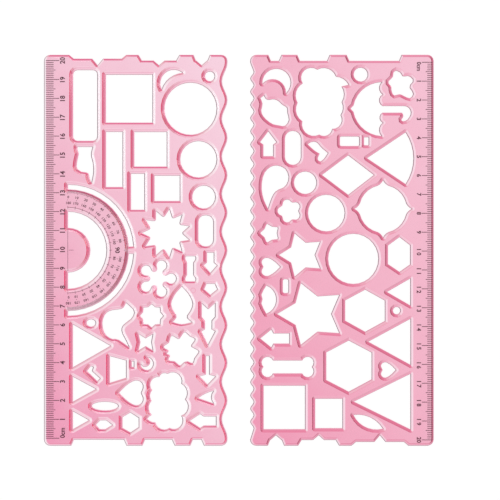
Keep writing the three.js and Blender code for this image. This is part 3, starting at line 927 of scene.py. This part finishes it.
@dataclass
class ProtractorDial:
    """The printed degree marks, numerals and base line of the half-round protractor.

    The hub, the window and the slot are the radii of the cut edges that the print crosses. The
    numerals at both ends of a row are turned by end_inset degrees, off the base line.
    """

    where: RulerFrame
    ink: bpy.types.Material
    bevel: Bevel
    centre: Vector = field(default_factory=lambda: Vector((12.7 * MM, 99.6 * MM)))
    hub: float = 11.9 * MM
    window: float = 20.4 * MM
    slot: float = 32.3 * MM
    rim: float = 31.9 * MM
    degree_from: float = 30.2 * MM
    ten_from: float = 29.7 * MM
    outer_row: float = 28.15 * MM
    row_dash: tuple[float, float] = (26.3 * MM, 26.85 * MM)
    inner_row: float = 25.0 * MM
    inner_line: float = 22.65 * MM
    inner_tick: tuple[float, float] = (21.85 * MM, 23.4 * MM)
    base_reach: float = 11.1 * MM
    centre_mark: tuple[float, float] = (0.5 * MM, 3.2 * MM)
    numeral_height: float = 1.4 * MM
    numeral_spacing: float = 1.1
    end_inset: float = 1.0
    ninety_row: float = 26.3 * MM
    ninety_height: float = 2.5 * MM
    line: float = 0.2 * MM

    def build(self) -> bpy.types.Object:
        """Prints the whole dial.

        Returns:
            The finished dial.
        """
        dial = Print("protractor_dial_print", self.where, self.ink, self._drop)
        for degree in range(181):
            inner = self.ten_from if degree % 10 == 0 else self.degree_from
            reaches = (inner, self.slot - self.bevel.width, self.rim)
            dial.line([self._spot(degree, reach) for reach in reaches], self.line)
        dial.arc(self.centre, self.inner_line, -math.pi / 2, math.pi / 2, self.line)
        inside, outside = self.inner_tick
        for degree in range(0, 181, 10):
            reaches = (inside, self.window + self.bevel.width, outside)
            dial.line([self._spot(degree, reach) for reach in reaches], self.line)
            if degree != 90:
                dial.line([self._spot(degree, reach) for reach in self.row_dash], self.line)
        for degree, text, row in self._numerals():
            dial.words(
                text,
                self._spot(degree, row),
                self.numeral_height,
                math.radians(-degree),
                spacing=self.numeral_spacing,
            )
        dial.words("90", self._spot(90, self.ninety_row), self.ninety_height, -math.pi / 2)
        flat = self.hub - self.bevel.width
        reaches = (-self.base_reach, -flat, flat, self.base_reach)
        dial.line([Vector((self.centre.x, self.centre.y + along)) for along in reaches], self.line)
        dial.line([self.centre + Vector((across, 0.0)) for across in self.centre_mark], self.line)
        return dial.build()

    def _drop(self, spot: Vector) -> float:
        """Gives how far the bevels of the hub, the window and the slot have dropped at a point.

        Args:
            spot: The point in ruler coordinates.

        Returns:
            How far it lies below the flat face.
        """
        radius = (spot.xy - self.centre).length
        if radius < self.hub:
            return self.bevel.drop(self.hub - radius)
        return self.bevel.drop(radius - self.window) + self.bevel.drop(self.slot - radius)

    def _spot(self, degree: float, radius: float) -> Vector:
        """Gives the point at an angle from the top of the dial.

        Args:
            degree: The angle in degrees, from the 20 cm side of the base line.
            radius: The distance from the centre.

        Returns:
            The point in ruler coordinates.
        """
        angle = math.radians(90 - degree)
        return self.centre + radius * Vector((math.cos(angle), math.sin(angle)))

    def _numerals(self) -> Iterator[tuple[float, str, float]]:
        """Lists the two rows of numerals, which count in opposite ways.

        Yields:
            The angle, the text and the row's radius.
        """
        for degree in range(0, 181, 10):
            if degree == 90:
                continue
            inset = {0: self.end_inset, 180: -self.end_inset}.get(degree, 0.0)
            yield degree + inset / 2, str(degree), self.outer_row
            yield degree + inset, str(180 - degree), self.inner_row


@dataclass(frozen=True)
class Softbox:
    """A soft square lamp, with its width in metres and its power in watts."""

    name: str
    place: tuple[float, float, float]
    width: float
    power: float

    def hang(self) -> None:
        """Hangs the lamp so that it points at the templates."""
        data = bpy.data.lights.new(self.name, "AREA")
        data.shape = "RECTANGLE"
        data.size = data.size_y = self.width
        data.energy = self.power
        lamp = bpy.data.objects.new(self.name, data)
        lamp.location = self.place
        lamp.rotation_euler = (-Vector(self.place)).to_track_quat("-Z", "Y").to_euler()
        bpy.context.scene.collection.objects.link(lamp)


@dataclass
class Studio:
    """White paper, soft light mostly from the lower left and a long lens straight above.

    The glow is the share of the paper's white that it sends out by itself to whatever looks at it.
    """

    softboxes: tuple[Softbox, ...] = (
        Softbox("window", (-0.8, -0.6, 1.7), 1.0, 14.0),
        Softbox("side_softbox", (1.2, 0.6, 1.4), 0.9, 8.0),
    )
    paper_size: float = 3.0
    paper_level: float = -0.3 * MM
    paper_grey: float = 0.92
    paper_glow: float = 0.88
    room_light: float = 0.85
    lens: float = 120.0
    sensor: float = 36.0
    clip_start: float = 0.05
    frame_width: float = 264.8 * MM
    aim: Vector = field(default_factory=lambda: Vector((5.91 * MM, 0.12 * MM, 2.0 * MM)))

    def build(self) -> None:
        """Sets up the paper, the world, the lamps and the camera."""
        self._paper()
        self._world()
        for softbox in self.softboxes:
            softbox.hang()
        self._camera()
        bpy.context.scene.view_settings.view_transform = "Standard"

    def _paper(self) -> None:
        """Lays white paper that looks white to the camera and through the plastic."""
        work = bmesh.new()
        bmesh.ops.create_grid(work, x_segments=1, y_segments=1, size=self.paper_size / 2)
        bmesh.ops.translate(work, vec=(0.0, 0.0, self.paper_level), verts=work.verts)
        paper = object_from("paper", work)
        sheet = NodeSheet("white_paper")
        diffuse = sheet.add("ShaderNodeBsdfDiffuse")
        diffuse.inputs["Color"].default_value = (*[self.paper_grey] * 3, 1.0)
        white = sheet.add("ShaderNodeEmission")
        white.inputs["Color"].default_value = (1.0, 1.0, 1.0, 1.0)
        blend = sheet.add("ShaderNodeMixShader")
        sheet.feed(blend.inputs[0], sheet.math("MULTIPLY", self._looked_at(sheet), self.paper_glow))
        sheet.feed(blend.inputs[1], diffuse.outputs[0])
        sheet.feed(blend.inputs[2], white.outputs[0])
        paper.data.materials.append(sheet.finish(blend.outputs[0]))
        paper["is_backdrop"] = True

    @staticmethod
    def _looked_at(sheet: NodeSheet) -> bpy.types.NodeSocket:
        """Tells whether a ray came from the camera, from a gloss or through clear plastic.

        Args:
            sheet: The node tree.

        Returns:
            1 for such a ray, and 0 for any other.
        """
        path = sheet.add("ShaderNodeLightPath")
        seen = sheet.math("MAXIMUM", path.outputs["Is Camera Ray"], path.outputs["Is Glossy Ray"])
        return sheet.math("MAXIMUM", seen, path.outputs["Is Transmission Ray"])

    def _world(self) -> None:
        """Surrounds the table with even white light."""
        world = bpy.data.worlds.new("white_room")
        world.use_nodes = True
        background = world.node_tree.nodes["Background"]
        background.inputs["Color"].default_value = (1.0, 1.0, 1.0, 1.0)
        background.inputs["Strength"].default_value = self.room_light
        bpy.context.scene.world = world

    def _camera(self) -> None:
        """Looks straight down, with the photograph's frame round the pair."""
        data = bpy.data.cameras.new("camera")
        data.lens = self.lens
        data.sensor_width = self.sensor
        data.clip_start = self.clip_start
        distance = self.frame_width * self.lens / self.sensor
        camera = bpy.data.objects.new("camera", data)
        camera.location = self.aim + Vector((0.0, 0.0, distance))
        bpy.context.scene.collection.objects.link(camera)
        bpy.context.scene.camera = camera


ROSE_PLASTIC = ClearPlastic(
    name="clear_rose_plastic",
    near_face=clear(240, 157, 189),
    far_face=clear(249, 219, 232),
    near_at=-141 * MM,
    far_at=47 * MM,
    # Painted shade lines, a grey painted edge shade and a painted highlight for the bevels.
    tones=Tones(
        lip=clear(112, 80, 95),
        low_line=clear(204, 96, 126),
        high_line=clear(216, 52, 102),
        rear_line=clear(222, 80, 134),
        rear_band=clear(248, 200, 217),
        blush=clear(236, 148, 177),
        veil=clear(240, 188, 208),
        petal=clear(248, 210, 224),
        glare=clear(254, 246, 250),
        high_from=0.76,
        rim_in=0.18,
    ),
    wall=clear(226, 130, 164),
    lamp_tint=linear(246, 198, 216),
    pin_marks=((-24.2 * MM, -21.3 * MM),),
)
PINK_PLASTIC = ClearPlastic(
    name="clear_pink_plastic",
    near_face=clear(241, 158, 188),
    far_face=clear(248, 203, 220),
    near_at=-47 * MM,
    far_at=141 * MM,
    # Painted shade lines, a grey painted edge shade and a painted highlight for the bevels.
    tones=Tones(
        lip=clear(112, 86, 98),
        low_line=clear(210, 114, 146),
        high_line=clear(156, 34, 74),
        rear_line=clear(234, 142, 171),
        rear_band=clear(235, 136, 168),
        blush=clear(230, 142, 171),
        veil=clear(236, 172, 195),
        petal=clear(245, 181, 203),
        glare=clear(252, 228, 239),
        high_from=0.8,
        rim_in=0.0,
    ),
    wall=clear(214, 122, 152),
    lamp_tint=linear(244, 178, 201),
)
SCALE_INK = ScaleInk(name="scale_ink", colour=linear(66, 44, 56), worn=linear(88, 62, 74))


def write_sizes(cad_box: object) -> None:
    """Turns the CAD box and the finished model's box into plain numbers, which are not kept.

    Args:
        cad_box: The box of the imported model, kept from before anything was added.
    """

    def plain(value: object) -> object:
        """Turns vectors into lists of numbers."""
        if isinstance(value, (int, float)):
            return float(value)
        return [plain(part) for part in value]

    {"cad": plain(cad_box), "visual": plain(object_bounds())}


def main() -> None:
    """Dresses the pair, prints its scales and sets up the studio."""
    logging.basicConfig(level=logging.INFO, format="%(name)s: %(message)s")
    cad_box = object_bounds()
    ink = SCALE_INK.material()
    left = RulerFrame(Plate.PROTRACTOR)
    right = RulerFrame(Plate.SHAPES)
    pieces = [
        MouldedPlate(Plate.PROTRACTOR, ROSE_PLASTIC, "rose_plastic"),
        MouldedPlate(Plate.SHAPES, PINK_PLASTIC, "pink_plastic"),
        CentimetreScale(
            where=left,
            ink=ink,
            start=1.0 * MM,
            tips={Tick.MILLIMETRE: 5.2 * MM, Tick.HALF: 6.2 * MM, Tick.CENTIMETRE: 8.2 * MM},
            numeral_middle=9.9 * MM,
            numeral_height=2.7 * MM,
            zero_middle=2.8 * MM,
            bevel=Bevel(1.4 * MM),
        ),
        CentimetreScale(
            where=right,
            ink=ink,
            start=0.6 * MM,
            tips={Tick.MILLIMETRE: 3.5 * MM, Tick.HALF: 4.4 * MM, Tick.CENTIMETRE: 6.4 * MM},
            numeral_middle=7.9 * MM,
            numeral_height=2.4 * MM,
            zero_middle=2.2 * MM,
            bevel=Bevel(1.4 * MM),
            teen_spacing=1.5,
            teen_shift=0.6 * MM,
        ),
        ProtractorDial(where=left, ink=ink, bevel=Bevel(1.95 * MM)),
    ]
    for piece in pieces:
        made = piece.build()
        log.info("%s has %d faces", made.name, len(made.data.polygons))
    Studio().build()
    write_sizes(cad_box)


if __name__ == "__main__":
    main()
